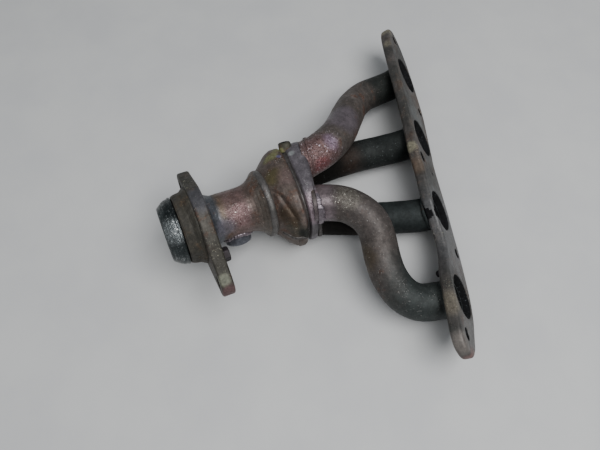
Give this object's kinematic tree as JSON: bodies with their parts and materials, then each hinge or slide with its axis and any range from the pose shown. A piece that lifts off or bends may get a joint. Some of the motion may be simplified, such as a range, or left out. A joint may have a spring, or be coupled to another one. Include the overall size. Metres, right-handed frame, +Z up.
{
  "type": "exhaust manifold",
  "caption": "Rusty tubular exhaust manifold: head flange, bent runner tubes, ribbed collector, oval outlet flange and loose conical sealing ring.",
  "frame": {"origin": "bottom centre of the bounding box, on the bench the part lies on", "axes": "+Y along the head flange towards port 1, +X towards the cylinder-head side, +Z up as the part lies; the outlet points to -X, swung 18.9 degrees towards -Y and climbing 6 degrees"},
  "size_m": [0.273, 0.3626, 0.0885],
  "materials": {
    "flange_steel": "weathered, scaled steel plate",
    "tube_steel": "dull, heat-stained and rusting tube",
    "collector_steel": "brown, stained pressed steel",
    "weld": "rippled weld bead, partly bright",
    "ring_steel": "dark, worn shiny steel"
  },
  "bodies": {
    "manifold": {"head_flange": "flange_steel", "runner_1": "tube_steel", "runner_2": "tube_steel", "runner_3": "tube_steel", "runner_4": "tube_steel", "port_weld_1": "weld", "port_weld_2": "weld", "port_weld_3": "weld", "port_weld_4": "weld", "collector_cap": "collector_steel", "cap_weld_1": "weld", "cap_weld_2": "weld", "cap_weld_3": "weld", "cap_weld_4": "weld", "cap_seam_weld": "weld", "collector_upper": "collector_steel", "collector_lower": "collector_steel", "seam_weld_near": "weld", "seam_weld_far": "weld", "ridge_weld": "weld", "outlet_pipe": "tube_steel", "sensor_boss": "tube_steel", "sensor_boss_weld": "weld", "outlet_flange": "flange_steel", "outlet_flange_weld": "weld", "outlet_collar": "flange_steel", "flange_nut": "tube_steel", "shield_boss": "collector_steel", "plate_peg": "tube_steel"},
    "loose_ring": {"sealing_ring": "ring_steel"}
  },
  "joints": [
    {"name": "ring_slide", "type": "slide", "parent": "manifold", "child": "loose_ring", "axis": [-0.9409, -0.3221, 0.1045], "range_m": [0, 0.03]}
  ]
}
